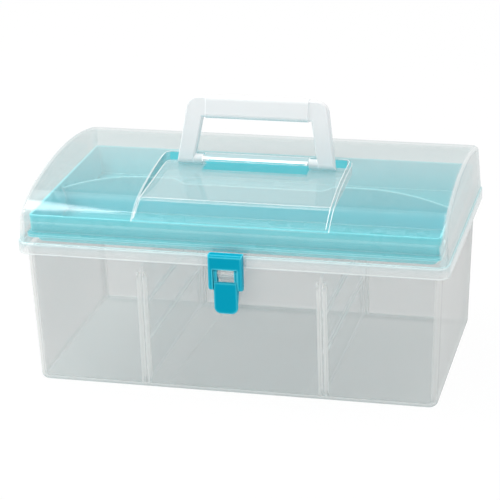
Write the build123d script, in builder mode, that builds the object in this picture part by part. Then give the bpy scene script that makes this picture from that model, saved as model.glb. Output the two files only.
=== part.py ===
from build123d import *

import os
from math import atan2, sqrt

os.makedirs("parts", exist_ok=True)

# A moulded sewing box, in millimetres: +X right, +Y back, +Z up, origin under the middle of the tub.

# Overall size of the closed box
skirt_width = 330.0
skirt_depth = 190.0
skirt_low = 107.0
skirt_high = 116.3
skirt_corner = 9.5
skirt_wall = 2.0
skirt_edge_round = 0.8

# Tub
foot_width = 310.5
foot_depth = 172.5
mouth_width = 319.4
mouth_depth = 179.4
mouth_height = 119.3
foot_corner = 7.0
mouth_corner = 8.0
tub_wall = 2.2
tub_floor = 2.4
tub_foot_round = 4.5
flange_gap = 0.7
flange_low = 111.6
flange_high = 114.0

# Divider slots and dividers
divider_x = 69.1
divider_thickness = 2.0
divider_top = 100.0
divider_ridges = (36.5, 67.0)
ridge_height = 2.0
ridge_proud = 0.8
slot_gap = 2.8
rib_width = 2.0
rib_depth = 4.0
rib_top = 96.0
divider_side_gap = 0.6
divider_corner = 8.0
divider_floor_gap = 0.1
ridge_end_gap = 2.0

# Tray, with a rim that stands on a smaller basin
tray_width = 315.2
tray_front = -83.2
tray_back = 89.2
tray_top = 135.0
tray_low = 111.5
tray_draft = 0.8
tray_steps = (2.6, 4.4)
tray_corner = 4.0
basin_corner = 5.0
tray_wall = 2.0
tray_foot_round = 2.5
tray_rim_round = 0.7
tray_flange_width = 316.8
tray_flange_depth = 177.8
tray_flange_corner = 6.0
tray_flange_thickness = 2.0
arch_y = -7.0
arch_top = 143.4
arch_middle = 139.4
arch_radius = 198.0
arch_shoulder_x = 85.0
arch_dip_x = 55.0
arch_dip_run = 9.0

# Lid
lid_wall = 2.0
lid_inset = 1.2
lid_draft = 0.061
lid_corner = 8.0
lid_edge_round = 4.0
crown_height = 160.2
crown_y = 12.0
crown_radius = 318.0
shoulder_y = -64.0
shoulder_low = 132.0
shoulder_skirt_drop = 12.0
loft_top = 172.0

# Recess in the lid, and the block that carries the handle
recess_half_width = 73.2
recess_back = 9.8
recess_back_floor = 152.6
recess_front = -66.5
recess_front_floor = 148.3
recess_front_run = 30.0
recess_front_drop = 14.65
recess_front_shift = 0.5
recess_corner = 6.0
block_half_length = 41.5
block_front = -5.5
block_top = 160.0
block_nose_run = 5.0
block_nose_drop = 2.0
block_nose_step = 1.5

# Handle, drawn upright and then leaned back onto the recess's rear edge
pivot_y = 4.5
pivot_z = 157.0
handle_lean = 12.0
handle_thickness = 8.0
handle_foot_z = 152.5
handle_top = 205.7
handle_foot_outer = 62.8
handle_foot_inner = 49.6
handle_top_outer = 54.9
handle_top_inner = 43.2
handle_corner = 10.0
handle_inner_corner = 4.0
handle_foot_corner = 3.0
handle_edge_round = 1.6
grip_low = 189.8
grip_half_length = 40.5
grip_thickness = 11.0
grip_round = 3.5
grip_proud = 0.8
hub_diameter = 7.4
hub_gap = 0.5
hub_overlap = 1.0
pin_diameter = 3.0
pin_depth = 3.4
pin_end_gap = 0.4
running_gap = 0.05

# Rear hinges
hinge_x = 95.0
hinge_y = 98.5
hinge_z = 103.0
hinge_radius = 4.0
hinge_pin_diameter = 3.0
tub_knuckle_length = 24.0
lid_knuckle_length = 10.0
knuckle_gap = 0.4
knuckle_buttress = 12.0
pin_chamfer = 0.4
arm_width_factor = 0.8
arm_height_factor = 0.6
arm_overlap = 1.0
arm_low_step = 0.4
arm_high_step = 1.2

# Toggle latch
keeper_half_width = 6.2
keeper_low = 98.5
keeper_high = 106.5
keeper_low_step = 2.0
keeper_nose = 0.6
keeper_nose_height = 3.4
axle_y = -99.0
axle_z = 104.9
axle_diameter = 2.4
axle_half_length = 8.7
link_y = -98.2
link_z = 94.0
link_pin_diameter = 3.0
frame_front = -102.5
frame_back = -95.4
frame_half_width = 13.0
frame_top = 118.6
frame_window_top = 107.6
frame_plate = 2.4
frame_chamfer = 1.5
frame_corner = 1.2
ear_width = 3.6
lever_half_width = 9.0
lever_low = 72.5
lever_high = 97.2
lever_front = -102.0
lever_plate = 2.4
lever_tip_round = 5.0
lever_edge_round = 0.8
horn_radius = 2.3
horn_inner = 6.6
horn_neck = 1.0
cheek_back = 3.0
cheek_low = 4.0
cheek_high = 2.0
stub_end_gap = 0.6
stub_overlap = 0.5


def tub_half_depth(height):
    """Half the tub's outer depth at a height."""
    return (foot_depth + (mouth_depth - foot_depth) * height / mouth_height) / 2


def lid_half(size, height):
    """Half the lid wall's outer width or depth at a height, from the skirt's size."""
    return size / 2 - lid_inset - lid_draft * (height - skirt_high)


def drafted_block(low, high, low_size, high_size, low_corner, high_corner, mode=Mode.ADD, y=0.0):
    """A rounded rectangle lofted to another one above it."""
    with BuildSketch(Plane.XY.offset(low)) as lower:
        with Locations((0, y)):
            RectangleRounded(*low_size, low_corner)
    with BuildSketch(Plane.XY.offset(high)) as upper:
        with Locations((0, y)):
            RectangleRounded(*high_size, high_corner)
    loft([lower.sketch, upper.sketch], mode=mode)


def straight_block(low, high, size, corner, mode=Mode.ADD):
    """An upright block with rounded corners."""
    with BuildSketch(Plane.XY.offset(low)) as outline:
        RectangleRounded(*size, corner)
    extrude(outline.sketch, amount=high - low, mode=mode)


def side_profile(points, x, length, mode=Mode.ADD):
    """A Y and Z outline, extruded along X about a middle plane."""
    with BuildSketch(Plane.YZ.offset(x)) as outline:
        with BuildLine():
            Polyline(*points, close=True)
        make_face()
    extrude(outline.sketch, amount=length / 2, both=True, mode=mode)


def cross_pin(x, y, z, diameter, length, mode=Mode.ADD):
    """A cylinder along X about a middle plane."""
    with BuildSketch(Plane.YZ.offset(x)) as outline:
        with Locations((y, z)):
            Circle(diameter / 2)
    extrude(outline.sketch, amount=length / 2, both=True, mode=mode)


def edge_loop(part):
    """The edges where a part's upper faces meet its upright walls."""
    upper = part.faces().filter_by(lambda face: face.normal_at().Z > 0.3)
    walls = part.faces().filter_by(lambda face: abs(face.normal_at().Z) < 0.25)
    shared = upper.edges() & walls.edges()
    return shared.sort_by(lambda edge: atan2(edge.center().Y, edge.center().X))


# Inside of the tub
with BuildPart() as tub_core:
    inner_foot = (foot_width - 2 * tub_wall, foot_depth - 2 * tub_wall)
    inner_mouth = (mouth_width - 2 * tub_wall, mouth_depth - 2 * tub_wall)
    inner_corners = (foot_corner - tub_wall, mouth_corner - tub_wall)
    drafted_block(tub_floor, mouth_height, inner_foot, inner_mouth, *inner_corners)
    fillet(tub_core.edges().group_by(Axis.Z)[0], radius=tub_foot_round - tub_wall)

# Tub
with BuildPart() as base_tub:
    outer_foot = (foot_width, foot_depth)
    outer_mouth = (mouth_width, mouth_depth)
    drafted_block(0, mouth_height, outer_foot, outer_mouth, foot_corner, mouth_corner)
    fillet(base_tub.edges().group_by(Axis.Z)[0], radius=tub_foot_round)
    flange_inset = 2 * (skirt_wall + flange_gap)
    flange_size = (skirt_width - flange_inset, skirt_depth - flange_inset)
    straight_block(flange_low, flange_high, flange_size, skirt_corner - skirt_wall - flange_gap)
    add(tub_core.part, mode=Mode.SUBTRACT)
    # Pairs of ribs that hold the dividers
    rib_offset = (slot_gap + rib_width) / 2
    for side in (-1, 1):
        for x in (side * divider_x - rib_offset, side * divider_x + rib_offset):
            for facing in (-1, 1):
                low_wall = tub_half_depth(tub_floor) - tub_wall
                high_wall = tub_half_depth(rib_top) - tub_wall
                outline = [
                    (facing * (low_wall + tub_wall / 2), tub_foot_round),
                    (facing * (high_wall + tub_wall / 2), rib_top),
                    (facing * high_wall, rib_top),
                    (facing * (high_wall - rib_depth), rib_top - rib_depth),
                    (facing * (low_wall - rib_depth), tub_floor / 2),
                ]
                side_profile(outline, x, rib_width)
    # Keeper and axle for the latch
    keeper_root = -tub_half_depth(keeper_low) + tub_wall / 2
    keeper_outline = [
        (keeper_root, keeper_low),
        (axle_y + keeper_low_step, keeper_low),
        (axle_y - keeper_nose, axle_z - keeper_nose_height),
        (axle_y - keeper_nose, axle_z),
        (axle_y, keeper_high),
        (keeper_root, keeper_high),
    ]
    side_profile(keeper_outline, 0, 2 * keeper_half_width)
    cross_pin(0, axle_y, axle_z, axle_diameter, 2 * axle_half_length)
    # Middle knuckles of the rear hinges
    knuckle_root = tub_half_depth(hinge_z) - tub_wall / 2
    for side in (-1, 1):
        knuckle = [
            (knuckle_root, hinge_z - knuckle_buttress),
            (hinge_y, hinge_z - hinge_radius),
            (hinge_y, hinge_z + hinge_radius / 2),
            (knuckle_root, hinge_z + hinge_radius / 2),
        ]
        side_profile(knuckle, side * hinge_x, tub_knuckle_length)
        cross_pin(side * hinge_x, hinge_y, hinge_z, 2 * hinge_radius, tub_knuckle_length)
        bore = hinge_pin_diameter + 2 * running_gap
        cross_pin(side * hinge_x, hinge_y, hinge_z, bore, tub_knuckle_length, mode=Mode.SUBTRACT)
base_tub.part.label = "base_tub"

# Dividers
dividers = {}
for name, side in (("divider_left", -1), ("divider_right", 1)):
    with BuildPart() as divider:
        divider_low = tub_floor + divider_floor_gap
        low_half = tub_half_depth(divider_low) - tub_wall - divider_side_gap
        high_half = tub_half_depth(divider_top) - tub_wall - divider_side_gap
        panel = [
            (-low_half + divider_corner, divider_low),
            (low_half - divider_corner, divider_low),
            (low_half, divider_low + divider_corner),
            (high_half, divider_top),
            (-high_half, divider_top),
            (-low_half, divider_low + divider_corner),
        ]
        side_profile(panel, side * divider_x, divider_thickness)
        for height in divider_ridges:
            ridge_half = tub_half_depth(height) - tub_wall - rib_depth - ridge_end_gap
            ridge = [
                (-ridge_half, height - ridge_height / 2),
                (ridge_half, height - ridge_height / 2),
                (ridge_half, height + ridge_height / 2),
                (-ridge_half, height + ridge_height / 2),
            ]
            side_profile(ridge, side * divider_x, divider_thickness + 2 * ridge_proud)
    divider.part.label = name
    dividers[name] = divider.part

# Tray
with BuildPart() as tray:
    tray_y = (tray_front + tray_back) / 2
    rim_size = (tray_width, tray_back - tray_front)
    ledge_size = [side - 2 * tray_draft for side in rim_size]
    basin_size = [side - 2 * step for side, step in zip(ledge_size, tray_steps)]
    foot_size = [side - 2 * tray_draft for side in basin_size]
    drafted_block(tray_low, mouth_height, foot_size, basin_size, basin_corner, basin_corner, y=tray_y)
    drafted_block(mouth_height, tray_top, ledge_size, rim_size, tray_corner, tray_corner, y=tray_y)
    flange_size = (tray_flange_width, tray_flange_depth)
    flange_top = mouth_height + tray_flange_thickness
    straight_block(mouth_height, flange_top, flange_size, tray_flange_corner)
    fillet(tray.edges().group_by(Axis.Z)[0], radius=tray_foot_round)
    inner_low = tray_low + tray_wall
    inner_foot = [side - 2 * tray_wall for side in foot_size]
    inner_rim = [side - 2 * tray_wall for side in rim_size]
    inner_corners = (basin_corner - tray_wall, tray_corner - tray_wall)
    drafted_block(inner_low, tray_top, inner_foot, inner_rim, *inner_corners, Mode.SUBTRACT, tray_y)
    fillet(tray.edges().group_by(Axis.Z)[-1], radius=tray_rim_round)
    # Arched cross wall that doubles as the lifting grip
    arch_end = tray_width / 2 - tray_wall / 2
    ledge_x = arch_end - tray_draft
    basin_x = ledge_x - tray_steps[0]
    foot_x = basin_x - tray_draft
    arch_ledge = mouth_height + tray_flange_thickness / 2
    arch_foot = tray_low + tray_wall / 2
    arch_drop = arch_radius - sqrt(arch_radius**2 - (arch_end - arch_shoulder_x) ** 2)
    with BuildSketch(Plane.XZ.offset(-arch_y)):
        with BuildLine():
            Polyline(
                (-arch_end, arch_top - arch_drop),
                (-ledge_x, arch_ledge),
                (-basin_x, arch_ledge),
                (-foot_x, arch_foot),
                (foot_x, arch_foot),
                (basin_x, arch_ledge),
                (ledge_x, arch_ledge),
                (arch_end, arch_top - arch_drop),
            )
            TangentArc((arch_shoulder_x, arch_top), (arch_end, arch_top - arch_drop), tangent=(1, 0))
            Polyline(
                (arch_shoulder_x, arch_top),
                (arch_dip_x + arch_dip_run, arch_top),
                (arch_dip_x, arch_middle),
                (-arch_dip_x, arch_middle),
                (-arch_dip_x - arch_dip_run, arch_top),
                (-arch_shoulder_x, arch_top),
            )
            TangentArc((-arch_shoulder_x, arch_top), (-arch_end, arch_top - arch_drop), tangent=(-1, 0))
        make_face()
    extrude(amount=tray_wall / 2, both=True)
tray.part.label = "tray"


def crown(y, inset):
    """Height of the lid's arched top at a depth, inset from its outer face."""
    return crown_height - crown_radius + sqrt((crown_radius - inset) ** 2 - (y - crown_y) ** 2)


def lid_body(inset):
    """The lid's arched block, inset all round from its outer face."""
    low_size = [2 * lid_half(size, skirt_low) - 2 * inset for size in (skirt_width, skirt_depth)]
    high_size = [2 * lid_half(size, loft_top) - 2 * inset for size in (skirt_width, skirt_depth)]
    drafted_block(skirt_low, loft_top, low_size, high_size, lid_corner - inset, lid_corner - inset)
    front = -skirt_depth / 2
    back = skirt_depth / 2
    back_top = (back, crown(back, inset))
    middle_top = (crown_y, crown(crown_y, inset))
    shoulder_top = (shoulder_y, crown(shoulder_y, inset))
    front_wall = (-lid_half(skirt_depth, shoulder_low) + inset, shoulder_low)
    forward = (-(shoulder_top[1] - crown_height + crown_radius), shoulder_y - crown_y)
    with BuildSketch(Plane.YZ) as outline:
        with BuildLine():
            ThreePointArc(back_top, middle_top, shoulder_top)
            TangentArc(shoulder_top, front_wall, tangent=forward)
            Polyline(
                front_wall,
                (front, shoulder_low - shoulder_skirt_drop),
                (front, skirt_low),
                (back, skirt_low),
                back_top,
            )
        make_face()
    extrude(outline.sketch, amount=skirt_width / 2, both=True, mode=Mode.INTERSECT)


def recess_room(grow):
    """The space above the recess floor, grown by a wall thickness."""
    half = recess_half_width + grow
    back = recess_back + grow
    with BuildSketch(Plane.XY.offset(skirt_low)) as plan:
        with BuildLine():
            Polyline((-half, -skirt_depth), (half, -skirt_depth), (half, back), (-half, back), close=True)
        corners = make_face().vertices().group_by(Axis.Y)[-1]
        fillet(corners, radius=recess_corner + grow)
    extrude(plan.sketch, amount=loft_top - skirt_low)
    with BuildSketch(Plane.YZ) as side:
        with BuildLine():
            rear = (back, recess_back_floor - grow)
            edge = (recess_front + recess_front_shift * grow, recess_front_floor - grow)
            low = (edge[0] - recess_front_run, edge[1] - recess_front_drop)
            front = (-skirt_depth, low[1])
            Polyline(rear, edge, low, front, (-skirt_depth, loft_top), (back, loft_top), close=True)
        make_face()
    extrude(side.sketch, amount=skirt_width / 2, both=True, mode=Mode.INTERSECT)


# Room above the recess floor, and the same with the wall under it
with BuildPart() as recess:
    recess_room(0)
with BuildPart() as recess_shell:
    recess_room(lid_wall)

# Inside of the lid
with BuildPart() as lid_core:
    lid_body(lid_wall)
    fillet(edge_loop(lid_core.part), radius=lid_edge_round - lid_wall)
    add(recess_shell.part, mode=Mode.SUBTRACT)

# Skirt of the lid
with BuildPart() as skirt:
    straight_block(skirt_low, skirt_high, (skirt_width, skirt_depth), skirt_corner)
    rims = skirt.edges().group_by(Axis.Z)
    fillet(rims[0] + rims[-1], radius=skirt_edge_round)

# Lid
with BuildPart() as lid:
    lid_body(0)
    fillet(edge_loop(lid.part), radius=lid_edge_round)
    add(recess.part, mode=Mode.SUBTRACT)
    add(skirt.part)
    inner_skirt = (skirt_width - 2 * skirt_wall, skirt_depth - 2 * skirt_wall)
    straight_block(skirt_low, skirt_high - lid_wall, inner_skirt, skirt_corner - skirt_wall, Mode.SUBTRACT)
    add(lid_core.part, mode=Mode.SUBTRACT)
    # Block between the handle's hubs
    block = [
        (recess_back + lid_wall / 2, recess_back_floor - lid_wall / 2),
        (recess_back + lid_wall / 2, block_top),
        (block_front + block_nose_run, block_top),
        (block_front + block_nose_step, block_top - block_nose_drop),
        (block_front, recess_back_floor - lid_wall / 2),
    ]
    side_profile(block, 0, 2 * block_half_length)
    for side in (-1, 1):
        hole_middle = side * (block_half_length - pin_depth / 2)
        hole = pin_diameter + 2 * running_gap
        cross_pin(hole_middle, pivot_y, pivot_z, hole, pin_depth, Mode.SUBTRACT)
    # Outer knuckles of the rear hinges
    arm_root = skirt_depth / 2 - arm_overlap
    arm_half_width = hinge_radius * arm_width_factor
    arm_height = hinge_z + hinge_radius * arm_height_factor
    lid_knuckle_shift = (tub_knuckle_length + lid_knuckle_length) / 2 + knuckle_gap
    for side in (-1, 1):
        for x in (side * hinge_x - lid_knuckle_shift, side * hinge_x + lid_knuckle_shift):
            arm = [
                (arm_root, skirt_low + arm_low_step),
                (hinge_y - arm_half_width, arm_height),
                (hinge_y, hinge_z),
                (hinge_y + arm_half_width, arm_height),
                (arm_root, skirt_high - arm_high_step),
            ]
            side_profile(arm, x, lid_knuckle_length)
            cross_pin(x, hinge_y, hinge_z, 2 * hinge_radius, lid_knuckle_length)
            bore = hinge_pin_diameter + 2 * running_gap
            cross_pin(x, hinge_y, hinge_z, bore, lid_knuckle_length, mode=Mode.SUBTRACT)
lid.part.label = "lid"

# Hinge pins
hinge_pins = {}
for name, side in (("hinge_pin_left", -1), ("hinge_pin_right", 1)):
    with BuildPart() as hinge_pin:
        pin_length = tub_knuckle_length + 2 * (lid_knuckle_length + knuckle_gap)
        cross_pin(side * hinge_x, hinge_y, hinge_z, hinge_pin_diameter, pin_length)
        chamfer(hinge_pin.edges().filter_by(GeomType.CIRCLE), length=pin_chamfer)
    hinge_pin.part.label = name
    hinge_pins[name] = hinge_pin.part

# Handle
with BuildPart() as handle:
    with BuildSketch(Plane.XZ.offset(-pivot_y)) as bail:
        with BuildLine():
            Polyline(
                (-handle_foot_outer, handle_foot_z),
                (-handle_top_outer, handle_top),
                (handle_top_outer, handle_top),
                (handle_foot_outer, handle_foot_z),
                (handle_foot_inner, handle_foot_z),
                (handle_top_inner, grip_low),
                (-handle_top_inner, grip_low),
                (-handle_foot_inner, handle_foot_z),
                close=True,
            )
        make_face()
        heights = bail.vertices().group_by(Axis.Y)
        fillet(heights[-1], radius=handle_corner)
        fillet(heights[1], radius=handle_inner_corner)
        fillet(heights[0], radius=handle_foot_corner)
    extrude(amount=handle_thickness / 2, both=True)
    for face in (handle.faces().sort_by(Axis.Y)[0], handle.faces().sort_by(Axis.Y)[-1]):
        fillet(face.edges(), radius=handle_edge_round)
    # Feet rounded about the pivot
    with BuildSketch(Plane.YZ) as foot_end:
        with Locations((pivot_y, pivot_z)):
            Circle(handle_thickness / 2)
            Rectangle(2 * handle_thickness, handle_top, align=(Align.CENTER, Align.MIN))
    extrude(foot_end.sketch, amount=skirt_width / 2, both=True, mode=Mode.INTERSECT)
    # Thicker middle of the grip
    grip_height = handle_top - grip_low + 2 * grip_proud
    with BuildSketch(Plane.YZ) as grip:
        with Locations((pivot_y, (handle_top + grip_low) / 2)):
            RectangleRounded(grip_thickness, grip_height, grip_round)
    extrude(grip.sketch, amount=grip_half_length, both=True)
    # Hubs and pins
    for side in (-1, 1):
        hub_end = block_half_length + hub_gap
        hub_root = handle_foot_inner + hub_overlap
        cross_pin(side * (hub_end + hub_root) / 2, pivot_y, pivot_z, hub_diameter, hub_root - hub_end)
        pin_end = block_half_length - pin_depth + pin_end_gap
        cross_pin(side * (pin_end + hub_root) / 2, pivot_y, pivot_z, pin_diameter, hub_root - pin_end)
pivot_line = Axis((0, pivot_y, pivot_z), (1, 0, 0))
leaning_handle = handle.part.rotate(pivot_line, -handle_lean)
leaning_handle.label = "handle"

# Upper part of the latch
with BuildPart() as latch_frame:
    plate = [
        (frame_front, frame_window_top),
        (frame_front, frame_top - frame_chamfer),
        (frame_front + frame_chamfer, frame_top),
        (frame_back, frame_top),
        (frame_back, frame_top - frame_plate),
        (frame_front + frame_plate, frame_top - frame_plate),
        (frame_front + frame_plate, frame_window_top),
    ]
    side_profile(plate, 0, 2 * frame_half_width)
    for side in (-1, 1):
        ear_middle = side * (frame_half_width - ear_width / 2)
        ear = [
            (frame_front, link_z),
            (frame_front, frame_top - frame_chamfer),
            (frame_front + frame_chamfer, frame_top),
            (frame_back, frame_top),
            (frame_back, link_z),
        ]
        side_profile(ear, ear_middle, ear_width)
        with BuildSketch(Plane.YZ.offset(ear_middle)):
            with Locations(((frame_front + frame_back) / 2, link_z)):
                Circle((frame_back - frame_front) / 2)
        extrude(amount=ear_width / 2, both=True)
        eye = link_pin_diameter + 2 * running_gap
        cross_pin(ear_middle, link_y, link_z, eye, ear_width, Mode.SUBTRACT)
    front_edges = latch_frame.edges().filter_by(Axis.Z).group_by(Axis.Y)[0].group_by(Axis.X)
    fillet(front_edges[0] + front_edges[-1], radius=frame_corner)
latch_frame.part.label = "latch_frame"

# Lever of the latch
with BuildPart() as latch_lever:
    with BuildSketch(Plane.XZ.offset(-lever_front)) as face:
        with Locations((0, (lever_low + lever_high) / 2)):
            Rectangle(2 * lever_half_width, lever_high - lever_low)
        fillet(face.vertices().group_by(Axis.Y)[0], radius=lever_tip_round)
    extrude(amount=-lever_plate)
    fillet(latch_lever.faces().sort_by(Axis.Y)[0].edges(), radius=lever_edge_round)
    for side in (-1, 1):
        cheek_middle = side * (lever_half_width + horn_inner) / 2
        cheek_width = lever_half_width - horn_inner
        cheek = [
            (lever_front + lever_plate / 2, lever_high),
            (lever_front + lever_plate / 2, lever_low + lever_tip_round),
            (link_y + cheek_back, link_z - cheek_low),
            (link_y + cheek_back, link_z + cheek_high),
            (axle_y + horn_radius, axle_z - horn_neck),
            (axle_y, axle_z),
            (axle_y - horn_radius, axle_z),
        ]
        side_profile(cheek, cheek_middle, cheek_width)
        cross_pin(cheek_middle, axle_y, axle_z, 2 * horn_radius, cheek_width)
        eye = axle_diameter + 2 * running_gap
        cross_pin(cheek_middle, axle_y, axle_z, eye, cheek_width, Mode.SUBTRACT)
        stub_end = frame_half_width - stub_end_gap
        stub_root = lever_half_width - stub_overlap
        cross_pin(side * (stub_end + stub_root) / 2, link_y, link_z, link_pin_diameter, stub_end - stub_root)
latch_lever.part.label = "latch_lever"

pieces = [base_tub.part, *dividers.values(), tray.part, lid.part, *hinge_pins.values()]
pieces += [leaning_handle, latch_frame.part, latch_lever.part]
for piece in pieces:
    export_step(piece, f"parts/{piece.label}.step")
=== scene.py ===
"""The looks of a moulded sewing box, built around its packed CAD frame."""

from math import cos, radians, sin

import bpy
from mathutils import Matrix, Quaternion, Vector


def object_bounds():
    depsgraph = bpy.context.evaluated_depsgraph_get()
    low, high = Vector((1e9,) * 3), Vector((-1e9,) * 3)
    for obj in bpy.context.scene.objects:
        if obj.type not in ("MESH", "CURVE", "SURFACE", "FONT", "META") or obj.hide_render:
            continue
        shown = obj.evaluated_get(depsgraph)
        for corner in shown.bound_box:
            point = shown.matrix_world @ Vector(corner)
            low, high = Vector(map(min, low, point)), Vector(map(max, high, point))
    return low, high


bl_info = {
    "name": "Sewing box looks",
    "version": (1, 0, 0),
    "blender": (4, 5, 0),
    "location": "View3D > Sidebar > Sewing box",
    "description": "Finishes the plastics of a translucent sewing box and sets its studio",
    "category": "Material",
}

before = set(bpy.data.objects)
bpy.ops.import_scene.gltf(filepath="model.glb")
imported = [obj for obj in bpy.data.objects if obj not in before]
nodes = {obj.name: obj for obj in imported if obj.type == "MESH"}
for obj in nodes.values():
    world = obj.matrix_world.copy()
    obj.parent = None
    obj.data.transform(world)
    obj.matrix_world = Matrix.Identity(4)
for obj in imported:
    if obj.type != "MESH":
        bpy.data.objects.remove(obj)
cad_low, cad_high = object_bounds()

PICTURE_SIDE = 500

# Moulded skin: flow marks, patches of shine, grain, and the bend at which a face counts as an edge, which
# gets the painted highlight
FLOW_STRETCH = (4.0, 9.0, 14.0)
FLOW_SCALE = 1.6
FLOW_DETAIL = 3.0
FLOW_DISTORTION = 0.6
SHINE_SCALE = 38.0
SHINE_DETAIL = 4.0
SHINE_CHANGE = 0.05
GRAIN_SCALE = 2500.0
GRAIN_DETAIL = 2.0
GRAIN_STRENGTH = 0.008
GRAIN_DEPTH = 0.0002
EDGE_BEND = (0.02, 0.55)
EDGE_SAMPLES = 6
# What painted shade multiplies colour by, and how far from square on and from side on an end round faces to
# get its painted highlight
SHADE_COLOUR = (0.36, 0.54, 0.54, 1)
ROUNDED_TURN = (0.05, 0.2)

# Pairs and trios below are for masks, and their places are in metres: a pair is where a fade starts and
# ends, and a trio is a band's low end, its high end and the width of its soft edges

# Tub: its slots, ribs, foot, floor, middle, rim and rear wall, and where its painted light from the tray
# begins
DIVIDER_X = 0.0691
RIB_OFFSET = 0.0024
RIB_HALF_WIDTH = (0.0006, 0.0013)
RIB_TOP = (0.088, 0.099)
FOOT_TOP = (0.0015, 0.0048)
FLOOR_TOP = (0.006, 0.007)
FLOOR_HALF_DEPTH = (0.0825, 0.0845)
MIDDLE_HALF_WIDTH = (0.03, 0.085)
RIM_FOOT = (0.104, 0.109)
REAR_WALL_FRONT = (0.074, 0.082)
TUB_TRAY_LIGHT_FOOT = (0.107, 0.117)
# How thick the tub's ribs look, how strong the painted highlight is on its corners, and the share of its
# opacity that its thin rim lacks
TUB_RIBS = 0.55
TUB_CORNER_HIGHLIGHT = 0.35
RIM_THINNING = 0.65
# How much painted shade the tub's foot gets, its floor under the tray, how much more its middle gets, and
# its rear wall
TUB_FOOT_SHADE = 0.85
TUB_FLOOR_SHADE = 0.35
TUB_MIDDLE_SHADE = 0.75
TUB_REAR_SHADE = 0.35
# Share by which the tub's rear wall is milkier, so that with its painted shade it reads darker
REAR_SHADE_THICKENING = 0.6

# Tray: how level a deep face is, how high it lies, the front wall, and how much painted shade both get
LEVEL_TILT = (0.6, 0.9)
DEEP_TOP = (0.124, 0.128)
TRAY_FRONT_WALL = (-0.0815, -0.0805)
TRAY_SHADE = 0.65
TRAY_FRONT_SHADE = 0.12

# Lid: height of the recess's floor under the middle of the box, and its rise to the rear
RECESS_LEVEL = 0.15205
RECESS_SLOPE = 0.05636
# The recess's half width, its floor, the floor's front edge and the wall behind it
RECESS_HALF_WIDTH = (0.0732, 0.0742)
RECESS_FLOOR_HEIGHT = (-0.0026, 0.0004, 0.0003)
RECESS_FLOOR_DEPTH = (-0.0665, 0.0098, 0.0005)
RECESS_EDGE_DEPTH = (-0.0671, -0.0661, 0.0004)
RECESS_WALL_DEPTH = (0.0090, 0.0125, 0.0003)
RECESS_WALL_HEIGHT = (0.1530, 0.1592, 0.0003)
# The handle's block, its nose and its top
BLOCK_HALF_WIDTH = (0.0417, 0.0419)
BLOCK_DEPTH = (-0.0060, 0.0125, 0.0002)
BLOCK_HEIGHT = (0.1490, 0.1577, 0.0002)
NOSE_DEPTH = (-0.0055, -0.0003, 0.0003)
NOSE_HEIGHT = (0.1590, 0.1604, 0.0003)
BLOCK_TOP_DEPTH = (-0.0003, 0.0098, 0.0003)
BLOCK_TOP_HEIGHT = (0.1597, 0.1604, 0.0002)
# The lid's skirt, front wall and end walls, and the band that gets painted light in the tray's colour
SKIRT_TOP = (0.1150, 0.1162)
FRONT_WALL_DEPTH = (-0.0905, -0.0895)
FRONT_WALL_HEIGHT = (0.1170, 0.1350, 0.0030)
END_WALL_START = (0.1575, 0.1585)
END_WALL_FOOT = (0.1160, 0.1170)
END_WALL_OUTWARD = (0.0, 0.05)
LID_TRAY_LIGHT_HEIGHT = (0.1185, 0.1190, 0.0085)
# How strong the painted sheen is on the recess's floor, and the painted highlights along the floor's front
# edge and on the block's top
LID_FLOOR_SHEEN = 0.12
LID_FLOOR_EDGE_HIGHLIGHT = 0.4
LID_BLOCK_TOP_HIGHLIGHT = 0.3
# How thick the lid looks in its skirt and front wall, how strong the painted highlight is on its end rounds,
# and how strong the painted light is on its end walls seen from outside
LID_SKIRT = 0.4
LID_CORNER_HIGHLIGHT = 0.5
LID_FRONT = 0.07
LID_END_WALL_LIGHT = 0.2
# Share of the lid's opacity that its clear faces lack, and its end walls from inside
LID_CLEARING = 0.75
LID_END_CLEARING = 0.25

# Hinge pins: how the drawn streaks are stretched, their darkest and palest steel, and their roughness
STREAK_STRETCH = (30.0, 2500.0, 2500.0)
STEEL_DARK = (0.42, 0.42, 0.43, 1)
STEEL_PALE = (0.66, 0.66, 0.67, 1)
STEEL_ROUGHNESS = (0.22, 0.38)

# Floor: half its side, how far it lies under the box, and its paint
FLOOR_HALF_SIDE = 6.0
FLOOR_DROP = 0.0002
FLOOR_PAINT = (0.86, 0.86, 0.86, 1)


# Values that a user would change

def share(name, description, default):
    """A setting between 0 and 1."""
    return bpy.props.FloatProperty(
        name=name, description=description, subtype="FACTOR", min=0, max=1, default=default)


def tint(name, description, default):
    """A colour setting."""
    return bpy.props.FloatVectorProperty(
        name=name, description=description, subtype="COLOR", size=3, min=0, max=1, default=default)


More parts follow.
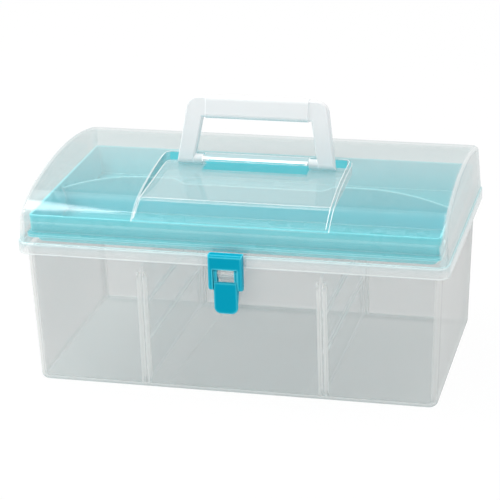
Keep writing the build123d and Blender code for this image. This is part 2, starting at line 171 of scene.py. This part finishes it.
def plastic_finish(title, colours, opacities, surface):
    """A group of settings for one moulded plastic, with its own defaults."""
    colour, flow_colour, edge_colour, glow_colour = colours
    facing, grazing, edge, light, start = opacities
    roughness, refraction, edge_width = surface
    settings = {
        "colour": tint("Colour", "Colour of the plastic itself", colour),
        "flow_colour": tint("Flow colour", "Colour where the melt ran thicker", flow_colour),
        # The edge colour is also the colour of painted highlights on edges
        "edge_colour": tint("Edge colour", "Colour that collects in thick edges", edge_colour),
        # The glow colour is painted light that the tray casts into thick places
        "glow_colour": tint("Glow colour", "Colour that thick places take from the tray", glow_colour),
        "facing_alpha": share("Facing opacity", "Opacity of one face seen square on", facing),
        "grazing_alpha": share("Grazing opacity", "Opacity of one face seen edge on", grazing),
        "edge_alpha": share("Edge opacity", "Opacity that thick edges add", edge),
        "light_alpha": share("Opacity to light", "Share of the opacity that holds back light", light),
        "haze_start": share("Haze start", "How far edge on a face turns before it gets milkier", start),
        "roughness": share("Roughness", "Roughness of the moulded face", roughness),
        "refraction": bpy.props.FloatProperty(
            name="Refraction", description="Index of refraction, which sets how strongly a face mirrors",
            min=1, max=4, default=refraction),
        "edge_width": bpy.props.FloatProperty(
            name="Edge width", description="How far in from an edge the plastic looks thick",
            subtype="DISTANCE", unit="LENGTH", min=0, precision=4, default=edge_width),
    }
    body = {"__doc__": "Finish of one moulded plastic.", "__annotations__": settings}
    return type(title, (bpy.types.PropertyGroup,), body)


# Milky tub, clear dividers, cyan tray, frosted lid, white handle and glossy latch; in each, the edge colour
# also paints highlights and the glow colour paints light from the tray
TubFinish = plastic_finish(
    "TubFinish", ((0.60, 0.605, 0.595), (0.57, 0.58, 0.575), (0.86, 0.87, 0.85), (0.50, 0.84, 0.88)),
    (0.20, 0.6, 0.3, 0.12, 0.0), (0.32, 1.7, 0.0012))
DividerFinish = plastic_finish(
    "DividerFinish", ((0.72, 0.75, 0.75), (0.68, 0.72, 0.72), (0.97, 0.98, 0.97), (0.97, 0.98, 0.97)),
    (0.12, 0.3, 0.4, 0.15, 0.0), (0.3, 1.49, 0.0012))
TrayFinish = plastic_finish(
    "TrayFinish", ((0.115, 0.69, 0.76), (0.09, 0.65, 0.73), (0.45, 0.85, 0.89), (0.45, 0.85, 0.89)),
    (0.80, 0.9, 0.3, 0.95, 0.0), (0.28, 1.49, 0.0012))
LidFinish = plastic_finish(
    "LidFinish", ((0.34, 0.41, 0.41), (0.31, 0.39, 0.39), (0.97, 0.98, 0.98), (0.50, 0.86, 0.90)),
    (0.09, 0.70, 0.7, 0.1, 0.3), (0.05, 3.2, 0.0012))
HandleFinish = plastic_finish(
    "HandleFinish", ((0.79, 0.79, 0.795), (0.75, 0.765, 0.775), (0.93, 0.94, 0.95), (0.93, 0.94, 0.95)),
    (0.72, 0.95, 0.1, 0.6, 0.0), (0.22, 1.49, 0.0012))
LatchFinish = plastic_finish(
    "LatchFinish", ((0.0, 0.31, 0.445), (0.0, 0.28, 0.415), (0.08, 0.58, 0.69), (0.08, 0.58, 0.69)),
    (1.0, 1.0, 0.0, 1.0, 0.0), (0.24, 1.1, 0.002))


class StudioSettings(bpy.types.PropertyGroup):
    """Camera and light."""

    camera_place: bpy.props.FloatVectorProperty(
        name="Camera place", description="Where the camera stands", subtype="TRANSLATION", unit="LENGTH",
        default=(0.3650, -1.4769, 0.6649))
    camera_yaw: bpy.props.FloatProperty(
        name="Camera yaw", description="Turn to the right of the rear", subtype="ANGLE",
        default=radians(-14.1))
    camera_pitch: bpy.props.FloatProperty(
        name="Camera pitch", description="Tilt below the horizon", subtype="ANGLE", default=radians(20.86))
    camera_roll: bpy.props.FloatProperty(
        name="Camera roll", description="Turn about the view line", subtype="ANGLE", default=radians(1.61))
    focal_pixels: bpy.props.FloatProperty(
        name="Focal length in pixels", description="Focal length in pixels of the square picture",
        default=2076.1)
    sky_light: bpy.props.FloatProperty(
        name="Sky light", description="Even light from all round", default=0.66, min=0)
    floor_white: bpy.props.FloatProperty(
        name="Floor white", description="Share of the floor that shows pure white", subtype="FACTOR",
        default=0.97)


class SewingBoxSettings(bpy.types.PropertyGroup):
    """All settings of the sewing box."""

    tub: bpy.props.PointerProperty(name="Tub", description="Milky tub", type=TubFinish)
    divider: bpy.props.PointerProperty(name="Dividers", description="Slot-in dividers", type=DividerFinish)
    tray: bpy.props.PointerProperty(name="Tray", description="Lift-out tray", type=TrayFinish)
    lid: bpy.props.PointerProperty(name="Lid", description="Frosted lid", type=LidFinish)
    handle: bpy.props.PointerProperty(name="Handle", description="White bail", type=HandleFinish)
    latch: bpy.props.PointerProperty(name="Latch", description="Toggle latch", type=LatchFinish)
    studio: bpy.props.PointerProperty(name="Studio", description="Camera and light", type=StudioSettings)


# Short ways to add nodes

class NodeBench:
    """The nodes of one material, group or world, with short ways to add to them."""

    def __init__(self, node_tree):
        self.nodes = node_tree.nodes
        self.link = node_tree.links.new

    def add(self, kind, values=None, **settings):
        """One node, with its settings, and a number, a colour or a link for each named input."""
        node = self.nodes.new("ShaderNode" + kind)
        for name, setting in settings.items():
            setattr(node, name, setting)
        for name, value in (values or {}).items():
            if isinstance(value, bpy.types.NodeSocket):
                self.link(value, node.inputs[name])
            else:
                node.inputs[name].default_value = value
        return node

    def calculate(self, operation, *values, clamp=False):
        """The result of one sum on numbers or sockets."""
        node = self.add("Math", dict(enumerate(values)), operation=operation, use_clamp=clamp)
        return node.outputs["Value"]

    def combine(self, operation, values):
        """The result of the same sum on one value after another."""
        whole = values[0]
        for value in values[1:]:
            whole = self.calculate(operation, whole, value)
        return whole

    def product(self, *values):
        """All the values multiplied."""
        return self.combine("MULTIPLY", values)

    def most(self, *values):
        """The greatest of the values."""
        return self.combine("MAXIMUM", values)

    def rest(self, mask):
        """What a mask leaves of 1."""
        return self.calculate("SUBTRACT", 1.0, mask)

    def without_sign(self, value):
        """How far a value is from 0, on either side."""
        return self.calculate("ABSOLUTE", value)

    def spread(self, value, start, end, first, last, kind="LINEAR"):
        """A value that goes from first to last as the given one goes from start to end."""
        values = {"Value": value, "From Min": start, "From Max": end, "To Min": first, "To Max": last}
        return self.add("MapRange", values, interpolation_type=kind).outputs["Result"]

    def fade(self, value, start, end):
        """A mask that falls from 1 to 0 as the value goes from start to end."""
        return self.spread(value, start, end, 1.0, 0.0, "SMOOTHSTEP")

    def between(self, value, low, high, soft):
        """A mask that is 1 from low to high and fades to 0 beyond them."""
        above = self.rest(self.fade(value, low - soft, low))
        return self.product(above, self.fade(value, high, high + soft))

    def mix(self, factor, first, second, blend="MIX"):
        """A colour between two others."""
        values = {"Factor": factor, "A": first, "B": second}
        return self.add("Mix", values, data_type="RGBA", blend_type=blend).outputs["Result"]

    def parts(self, vector):
        """The three parts of a place or a direction."""
        split = self.add("SeparateXYZ", {"Vector": vector}).outputs
        return split["X"], split["Y"], split["Z"]

    def place(self):
        """Where a point of the piece lies at rest, in the shared frame."""
        return self.parts(self.add("TexCoord").outputs["Object"])

    def facing(self):
        """Which way the seen side of a face looks."""
        return self.parts(self.add("NewGeometry").outputs["Normal"])


# Shared surface effects

def group_socket(group, name, direction, kind, default=None):
    """Adds one named socket to a node group."""
    socket = group.interface.new_socket(name=name, in_out=direction, socket_type="NodeSocket" + kind)
    if default is not None:
        socket.default_value = default


def moulded_skin_group():
    """The flow marks, fine grain and thick edges that every moulded plastic here has."""
    name = "Moulded skin"
    if name in bpy.data.node_groups:
        return bpy.data.node_groups[name]
    group = bpy.data.node_groups.new(name, "ShaderNodeTree")
    group_socket(group, "Colour", "INPUT", "Color", (0.5, 0.5, 0.5, 1))
    group_socket(group, "Flow colour", "INPUT", "Color", (0.4, 0.4, 0.4, 1))
    group_socket(group, "Edge colour", "INPUT", "Color", (0.9, 0.9, 0.9, 1))
    group_socket(group, "Roughness", "INPUT", "Float", 0.3)
    group_socket(group, "Edge width", "INPUT", "Float", 0.0012)
    group_socket(group, "Thickness", "INPUT", "Float", 0.0)
    group_socket(group, "Shade", "INPUT", "Float", 0.0)
    group_socket(group, "Colour", "OUTPUT", "Color")
    group_socket(group, "Roughness", "OUTPUT", "Float")
    group_socket(group, "Grain", "OUTPUT", "Float")
    group_socket(group, "Edge", "OUTPUT", "Float")
    given = group.nodes.new("NodeGroupInput").outputs
    result = group.nodes.new("NodeGroupOutput").inputs
    bench = NodeBench(group)
    place = bench.add("TexCoord").outputs["Object"]
    # Broad flow marks, stretched along the box
    stretched = bench.add("Mapping", {"Vector": place, "Scale": FLOW_STRETCH}).outputs["Vector"]
    flow = bench.add("TexNoise", {
        "Vector": stretched, "Scale": FLOW_SCALE, "Detail": FLOW_DETAIL, "Distortion": FLOW_DISTORTION})
    tone = bench.mix(flow.outputs["Fac"], given["Colour"], given["Flow colour"])
    # Patches that shine a little more or less
    shine = bench.add("TexNoise", {"Vector": place, "Scale": SHINE_SCALE, "Detail": SHINE_DETAIL})
    change = bench.spread(shine.outputs["Fac"], 0.0, 1.0, -SHINE_CHANGE, SHINE_CHANGE)
    bench.link(bench.calculate("ADD", change, given["Roughness"], clamp=True), result["Roughness"])
    # Fine spark-eroded grain
    grain = bench.add("TexNoise", {"Vector": place, "Scale": GRAIN_SCALE, "Detail": GRAIN_DETAIL})
    bench.link(grain.outputs["Fac"], result["Grain"])
    # Edges and ribs, where the plastic is thicker, with a painted highlight for the light that rounded edges
    # catch
    bevel = bench.add("Bevel", {"Radius": given["Edge width"]}, samples=EDGE_SAMPLES)
    plain = bench.add("NewGeometry")
    normals = {0: bevel.outputs["Normal"], 1: plain.outputs["Normal"]}
    bend = bench.add("VectorMath", normals, operation="DISTANCE").outputs["Value"]
    thick_and_highlit = bench.most(bench.spread(bend, *EDGE_BEND, 0.0, 1.0), given["Thickness"])
    lit = bench.calculate("SUBTRACT", thick_and_highlit, given["Shade"], clamp=True)
    bench.link(lit, result["Edge"])
    edged = bench.mix(lit, tone, given["Edge colour"])
    # Places that little light gets into
    bench.link(bench.mix(given["Shade"], edged, SHADE_COLOUR, "MULTIPLY"), result["Colour"])
    return group


# Masks for the places of each piece: thick with painted highlights, painted shade, thin, and painted light
# from the tray

def rounded_end_highlight(bench):
    """A mask for the rounds between the end walls and the faces beside them, which face neither squarely."""
    across, _, _ = bench.facing()
    sideways = bench.product(across, across)
    return bench.rest(bench.fade(bench.product(sideways, bench.rest(sideways)), *ROUNDED_TURN))


def tub_masks(bench):
    """Where ribs stand behind the tub's walls, where its foot meets the floor, and where its rim is thin."""
    x, y, z = bench.place()
    beside = bench.without_sign(x)
    from_slot = bench.without_sign(bench.calculate("SUBTRACT", beside, DIVIDER_X))
    from_rib = bench.without_sign(bench.calculate("SUBTRACT", from_slot, RIB_OFFSET))
    ribs = bench.product(bench.fade(from_rib, *RIB_HALF_WIDTH), bench.fade(z, *RIB_TOP), TUB_RIBS)
    # Painted highlight on the tub's rounded corners
    corners = bench.product(rounded_end_highlight(bench), TUB_CORNER_HIGHLIGHT)
    # Painted shade along the foot, where it meets the floor
    foot_shade = bench.product(bench.fade(z, *FOOT_TOP), TUB_FOOT_SHADE)
    # Painted shade on the floor under the tray, tinted like the tray's light and strongest in the middle
    in_middle = bench.fade(beside, *MIDDLE_HALF_WIDTH)
    floor_shade_strength = bench.calculate("MULTIPLY_ADD", in_middle, TUB_MIDDLE_SHADE, TUB_FLOOR_SHADE)
    on_floor = bench.fade(bench.without_sign(y), *FLOOR_HALF_DEPTH)
    floor = bench.product(bench.fade(z, *FLOOR_TOP), on_floor, floor_shade_strength)
    rim = bench.product(bench.rest(bench.fade(z, *RIM_FOOT)), RIM_THINNING)
    # Painted shade on the rear wall, which is also made milkier so that it reads darker
    rear = bench.rest(bench.fade(y, *REAR_WALL_FRONT))
    shaded = bench.most(foot_shade, floor, bench.product(rear, TUB_REAR_SHADE))
    thin = bench.calculate("SUBTRACT", rim, bench.product(rear, REAR_SHADE_THICKENING))
    # Painted light in the tray's colour on the tub's rim
    painted_tray_light = bench.rest(bench.fade(z, *TUB_TRAY_LIGHT_FOOT))
    return bench.most(ribs, corners), shaded, thin, painted_tray_light


def tray_masks(bench):
    """Where the tray's level faces lie deep under the frosted lid, and where its front wall is."""
    _, y, z = bench.place()
    _, _, upward = bench.facing()
    level = bench.rest(bench.fade(bench.without_sign(upward), *LEVEL_TILT))
    # Painted shade on level faces deep under the lid and on the front wall
    deep_shade = bench.product(level, bench.fade(z, *DEEP_TOP), TRAY_SHADE)
    front = bench.product(bench.fade(y, *TRAY_FRONT_WALL), TRAY_FRONT_SHADE)
    return None, bench.most(deep_shade, front), None, None


def lid_masks(bench):
    """Where the lid is frosted or thick, and where the handle's block and the wall behind it are clear."""
    x, y, z = bench.place()
    beside = bench.without_sign(x)
    # Painted sheen on the recess's floor and a painted highlight along its front edge
    floor_level = bench.calculate("MULTIPLY_ADD", y, RECESS_SLOPE, RECESS_LEVEL)
    over_floor = bench.calculate("SUBTRACT", z, floor_level)
    in_recess = bench.fade(beside, *RECESS_HALF_WIDTH)
    by_floor = bench.product(in_recess, bench.between(over_floor, *RECESS_FLOOR_HEIGHT))
    floor = bench.product(by_floor, bench.between(y, *RECESS_FLOOR_DEPTH), LID_FLOOR_SHEEN)
    floor_edge_highlight = bench.product(by_floor, bench.between(y, *RECESS_EDGE_DEPTH), LID_FLOOR_EDGE_HIGHLIGHT)
    # Painted highlights on the block's nose and top
    in_block = bench.fade(beside, *BLOCK_HALF_WIDTH)
    nose_highlight = bench.product(in_block, bench.between(y, *NOSE_DEPTH), bench.between(z, *NOSE_HEIGHT))
    top_height = bench.between(z, *BLOCK_TOP_HEIGHT)
    block_top_highlight = bench.product(in_block, bench.between(y, *BLOCK_TOP_DEPTH), top_height, LID_BLOCK_TOP_HIGHLIGHT)
    # The skirt, the painted highlight on the end rounds, the front wall, and painted light on the end walls
    # seen from outside
    skirt = bench.product(bench.fade(z, *SKIRT_TOP), LID_SKIRT)
    corners = bench.product(rounded_end_highlight(bench), LID_CORNER_HIGHLIGHT)
    front_height = bench.between(z, *FRONT_WALL_HEIGHT)
    front = bench.product(bench.fade(y, *FRONT_WALL_DEPTH), front_height, LID_FRONT)
    past_middle = bench.rest(bench.fade(beside, *END_WALL_START))
    end_wall = bench.product(past_middle, bench.rest(bench.fade(z, *END_WALL_FOOT)))
    across, _, _ = bench.facing()
    inside = bench.fade(bench.product(across, x), *END_WALL_OUTWARD)
    lit_end_walls = bench.product(end_wall, bench.rest(inside), LID_END_WALL_LIGHT)
    thick_and_highlit = bench.most(floor, floor_edge_highlight, nose_highlight, block_top_highlight, skirt, corners, front, lit_end_walls)
    # The clear faces of the block and of the wall behind it, which also get painted shade that darkens them
    # and takes their edge lines away
    block = bench.product(in_block, bench.between(y, *BLOCK_DEPTH), bench.between(z, *BLOCK_HEIGHT))
    wall_height = bench.between(z, *RECESS_WALL_HEIGHT)
    clear = bench.most(block, bench.product(in_recess, bench.between(y, *RECESS_WALL_DEPTH), wall_height))
    clear_ends = bench.product(end_wall, inside, LID_END_CLEARING)
    thin = bench.most(bench.product(clear, LID_CLEARING), clear_ends)
    # The last mask is painted light in the tray's colour on the band beside the tray
    return thick_and_highlit, clear, thin, bench.between(z, *LID_TRAY_LIGHT_HEIGHT)


# Materials

def see_through(bench, finish, edge, thin):
    """The opacity of a face: clearer square on and where it is thin, milkier edge on and in thick edges."""
    turned = bench.add("LayerWeight", {"Blend": 0.5}).outputs["Facing"]
    haze = bench.spread(turned, finish.haze_start, 1.0, finish.facing_alpha, finish.grazing_alpha)
    milky = bench.calculate("MULTIPLY_ADD", edge, finish.edge_alpha, haze, clamp=True)
    # Milky plastic passes on most of the light that it scatters
    ray = bench.add("LightPath").outputs
    lighting = bench.most(ray["Is Shadow Ray"], ray["Is Diffuse Ray"])
    opacity = bench.product(milky, bench.spread(lighting, 0.0, 1.0, 1.0, finish.light_alpha))
    if thin is None:
        return opacity
    return bench.product(opacity, bench.rest(thin))


def moulded_plastic(name, finish, piece_masks=None):
    """A moulded plastic that is clearer square on than edge on, with masks for thick and shaded places."""
    material = bpy.data.materials.new(name)
    material.use_nodes = True
    bench = NodeBench(material.node_tree)
    bench.nodes.clear()
    values = {
        "Colour": (*finish.colour, 1),
        "Flow colour": (*finish.flow_colour, 1),
        "Edge colour": (*finish.edge_colour, 1),
        "Roughness": finish.roughness,
        "Edge width": finish.edge_width,
    }
    thick_and_highlit, shaded, thin, painted_tray_light = piece_masks(bench) if piece_masks else (None, None, None, None)
    if thick_and_highlit is not None:
        values["Thickness"] = thick_and_highlit
    if shaded is not None:
        values["Shade"] = shaded
    # Painted light in the tray's colour on edges near the tray
    if painted_tray_light is not None:
        values["Edge colour"] = bench.mix(painted_tray_light, (*finish.edge_colour, 1), (*finish.glow_colour, 1))
    skin = bench.add("Group", values, node_tree=moulded_skin_group()).outputs
    bump = bench.add("Bump", {"Height": skin["Grain"], "Strength": GRAIN_STRENGTH, "Distance": GRAIN_DEPTH})
    shader = bench.add("BsdfPrincipled", {
        "Base Color": skin["Colour"], "Roughness": skin["Roughness"], "Normal": bump.outputs["Normal"],
        "IOR": finish.refraction})
    if finish.facing_alpha < 1:
        bench.link(see_through(bench, finish, skin["Edge"], thin), shader.inputs["Alpha"])
    bench.add("OutputMaterial", {"Surface": shader.outputs["BSDF"]})
    return material


def bright_steel(name):
    """Drawn steel wire for the hinge pins."""
    material = bpy.data.materials.new(name)
    material.use_nodes = True
    bench = NodeBench(material.node_tree)
    shader = bench.nodes["Principled BSDF"]
    shader.inputs["Metallic"].default_value = 1.0
    place = bench.add("TexCoord").outputs["Object"]
    drawn = bench.add("Mapping", {"Vector": place, "Scale": STREAK_STRETCH}).outputs["Vector"]
    streak = bench.add("TexNoise", {"Vector": drawn, "Scale": 1.0}).outputs["Fac"]
    tone = bench.add("ValToRGB", {"Fac": streak})
    tone.color_ramp.elements[0].color = STEEL_DARK
    tone.color_ramp.elements[1].color = STEEL_PALE
    bench.link(tone.outputs["Color"], shader.inputs["Base Color"])
    bench.link(bench.spread(streak, 0.0, 1.0, *STEEL_ROUGHNESS), shader.inputs["Roughness"])
    return material


def dress(node_names, material):
    """Gives CAD nodes a material."""
    for name in node_names:
        piece = nodes[name]
        piece.data.materials.clear()
        piece.data.materials.append(material)


# One operator for each piece or group of like pieces

class SEWINGBOX_OT_tub(bpy.types.Operator):
    """Finish the milky tub"""

    bl_idname = "sewingbox.tub"
    bl_label = "Finish tub"

    def execute(self, context):
        settings = context.scene.sewing_box
        dress(["base_tub"], moulded_plastic("milky_tub", settings.tub, tub_masks))
        return {"FINISHED"}


class SEWINGBOX_OT_dividers(bpy.types.Operator):
    """Finish the slot-in dividers"""

    bl_idname = "sewingbox.dividers"
    bl_label = "Finish dividers"

    def execute(self, context):
        settings = context.scene.sewing_box
        dress(["divider_left", "divider_right"], moulded_plastic("clear_divider", settings.divider))
        return {"FINISHED"}


class SEWINGBOX_OT_tray(bpy.types.Operator):
    """Finish the lift-out tray"""

    bl_idname = "sewingbox.tray"
    bl_label = "Finish tray"

    def execute(self, context):
        settings = context.scene.sewing_box
        dress(["tray"], moulded_plastic("cyan_tray", settings.tray, tray_masks))
        return {"FINISHED"}


class SEWINGBOX_OT_lid(bpy.types.Operator):
    """Finish the frosted lid"""

    bl_idname = "sewingbox.lid"
    bl_label = "Finish lid"

    def execute(self, context):
        settings = context.scene.sewing_box
        dress(["lid"], moulded_plastic("frosted_lid", settings.lid, lid_masks))
        return {"FINISHED"}


class SEWINGBOX_OT_handle(bpy.types.Operator):
    """Finish the folding handle"""

    bl_idname = "sewingbox.handle"
    bl_label = "Finish handle"

    def execute(self, context):
        settings = context.scene.sewing_box
        dress(["handle"], moulded_plastic("white_handle", settings.handle))
        return {"FINISHED"}


class SEWINGBOX_OT_latch(bpy.types.Operator):
    """Finish both parts of the toggle latch"""

    bl_idname = "sewingbox.latch"
    bl_label = "Finish latch"

    def execute(self, context):
        settings = context.scene.sewing_box
        dress(["latch_frame", "latch_lever"], moulded_plastic("gloss_latch", settings.latch))
        return {"FINISHED"}


class SEWINGBOX_OT_hinge_pins(bpy.types.Operator):
    """Finish the steel hinge pins"""

    bl_idname = "sewingbox.hinge_pins"
    bl_label = "Finish hinge pins"

    def execute(self, context):
        dress(["hinge_pin_left", "hinge_pin_right"], bright_steel("hinge_pin_steel"))
        return {"FINISHED"}


# Studio

def add_camera(studio):
    """The camera, set for a square picture."""
    yaw, pitch, roll = studio.camera_yaw, studio.camera_pitch, studio.camera_roll
    ahead = Vector((sin(yaw) * cos(pitch), cos(yaw) * cos(pitch), -sin(pitch)))
    level = Vector((cos(yaw), -sin(yaw), 0))
    down = ahead.cross(level)
    right = cos(roll) * level + sin(roll) * down
    up = sin(roll) * level - cos(roll) * down
    data = bpy.data.cameras.new("camera")
    data.sensor_fit = "HORIZONTAL"
    data.lens = data.sensor_width * studio.focal_pixels / PICTURE_SIDE
    data.clip_start = 0.05
    data.clip_end = 50
    camera = bpy.data.objects.new("camera", data)
    turn = Matrix((right, up, -ahead)).transposed().to_4x4()
    camera.matrix_world = Matrix.Translation(studio.camera_place) @ turn
    bpy.context.scene.collection.objects.link(camera)
    bpy.context.scene.camera = camera


def seen_or_mirrored(bench):
    """A value that is 1 for rays that show the background directly, in a mirror or through glass."""
    ray = bench.add("LightPath").outputs
    return bench.most(ray["Is Camera Ray"], ray["Is Glossy Ray"], ray["Is Transmission Ray"])


def add_sky(studio):
    """A white sky that lights the box a little less than it shows."""
    world = bpy.data.worlds.new("white_sky")
    bpy.context.scene.world = world
    world.use_nodes = True
    bench = NodeBench(world.node_tree)
    background = bench.nodes["Background"]
    background.inputs["Color"].default_value = (1, 1, 1, 1)
    strength = bench.spread(seen_or_mirrored(bench), 0.0, 1.0, studio.sky_light, 1.0)
    bench.link(strength, background.inputs["Strength"])


def add_floor(studio):
    """A pale floor that shows white, with the box's shadow on it."""
    half = FLOOR_HALF_SIDE
    mesh = bpy.data.meshes.new("floor")
    corners = [(-half, -half, 0), (half, -half, 0), (half, half, 0), (-half, half, 0)]
    mesh.from_pydata(corners, [], [(0, 1, 2, 3)])
    floor = bpy.data.objects.new("floor", mesh)
    floor.location.z = -FLOOR_DROP
    bpy.context.scene.collection.objects.link(floor)
    material = bpy.data.materials.new("pale_floor")
    material.use_nodes = True
    bench = NodeBench(material.node_tree)
    bench.nodes.clear()
    whiteness = bench.product(seen_or_mirrored(bench), studio.floor_white)
    paint = bench.add("BsdfDiffuse", {"Color": FLOOR_PAINT}).outputs["BSDF"]
    white = bench.add("Emission").outputs["Emission"]
    mixed = bench.add("MixShader", {"Fac": whiteness, 1: paint, 2: white}).outputs["Shader"]
    bench.add("OutputMaterial", {"Surface": mixed})
    mesh.materials.append(material)


def add_softbox(name, place, target, width, depth, power, spin=0.0):
    """One rectangular soft lamp, turned about its own line of aim."""
    data = bpy.data.lights.new(name, "AREA")
    data.shape = "RECTANGLE"
    data.size = width
    data.size_y = depth
    data.energy = power
    lamp = bpy.data.objects.new(name, data)
    lamp.location = place
    aim = Vector(target) - Vector(place)
    lamp.rotation_mode = "QUATERNION"
    lamp.rotation_quaternion = aim.to_track_quat("-Z", "Y") @ Quaternion((0, 0, 1), spin)
    bpy.context.scene.collection.objects.link(lamp)


class SEWINGBOX_OT_studio(bpy.types.Operator):
    """Set the floor, the light and the camera"""

    bl_idname = "sewingbox.studio"
    bl_label = "Set studio"

    def execute(self, context):
        studio = context.scene.sewing_box.studio
        context.scene.view_settings.view_transform = "Standard"
        # Light passes many thin walls here
        context.scene.cycles.transparent_max_bounces = 32
        add_sky(studio)
        add_floor(studio)
        middle = (cad_low + cad_high) / 2
        under_left = (-0.785, -0.071, 0)
        add_softbox(
            "overhead_left", (-0.785, -0.071, 1.2), under_left, width=0.6, depth=0.6, power=11.0,
            spin=radians(27.3))
        add_softbox("front_fill", (-0.6, -1.5, 0.9), middle, width=1.6, depth=1.2, power=6.0)
        add_softbox("right_strip", (1.6, -0.4, 0.5), middle, width=0.3, depth=1.2, power=2.5)
        add_softbox("overhead", (0.0, 0.2, 2.4), middle, width=2.2, depth=2.2, power=26.0)
        add_camera(studio)
        return {"FINISHED"}


class SEWINGBOX_PT_panel(bpy.types.Panel):
    """Lists the steps that finish the sewing box"""

    bl_idname = "SEWINGBOX_PT_panel"
    bl_label = "Sewing box"
    bl_space_type = "VIEW_3D"
    bl_region_type = "UI"
    bl_category = "Sewing box"

    def draw(self, context):
        for step in STEPS:
            self.layout.operator(step.bl_idname)


STEPS = (
    SEWINGBOX_OT_tub,
    SEWINGBOX_OT_dividers,
    SEWINGBOX_OT_tray,
    SEWINGBOX_OT_lid,
    SEWINGBOX_OT_handle,
    SEWINGBOX_OT_latch,
    SEWINGBOX_OT_hinge_pins,
    SEWINGBOX_OT_studio,
)
FINISHES = (TubFinish, DividerFinish, TrayFinish, LidFinish, HandleFinish, LatchFinish)
CLASSES = (*FINISHES, StudioSettings, SewingBoxSettings, *STEPS, SEWINGBOX_PT_panel)


def register():
    for cls in CLASSES:
        bpy.utils.register_class(cls)
    bpy.types.Scene.sewing_box = bpy.props.PointerProperty(type=SewingBoxSettings)


def unregister():
    del bpy.types.Scene.sewing_box
    for cls in reversed(CLASSES):
        bpy.utils.unregister_class(cls)


def main():
    """Finishes every piece, sets the studio and writes the two boxes."""
    register()
    for step in STEPS:
        group, name = step.bl_idname.split(".")
        getattr(getattr(bpy.ops, group), name)()


if __name__ == "__main__":
    main()
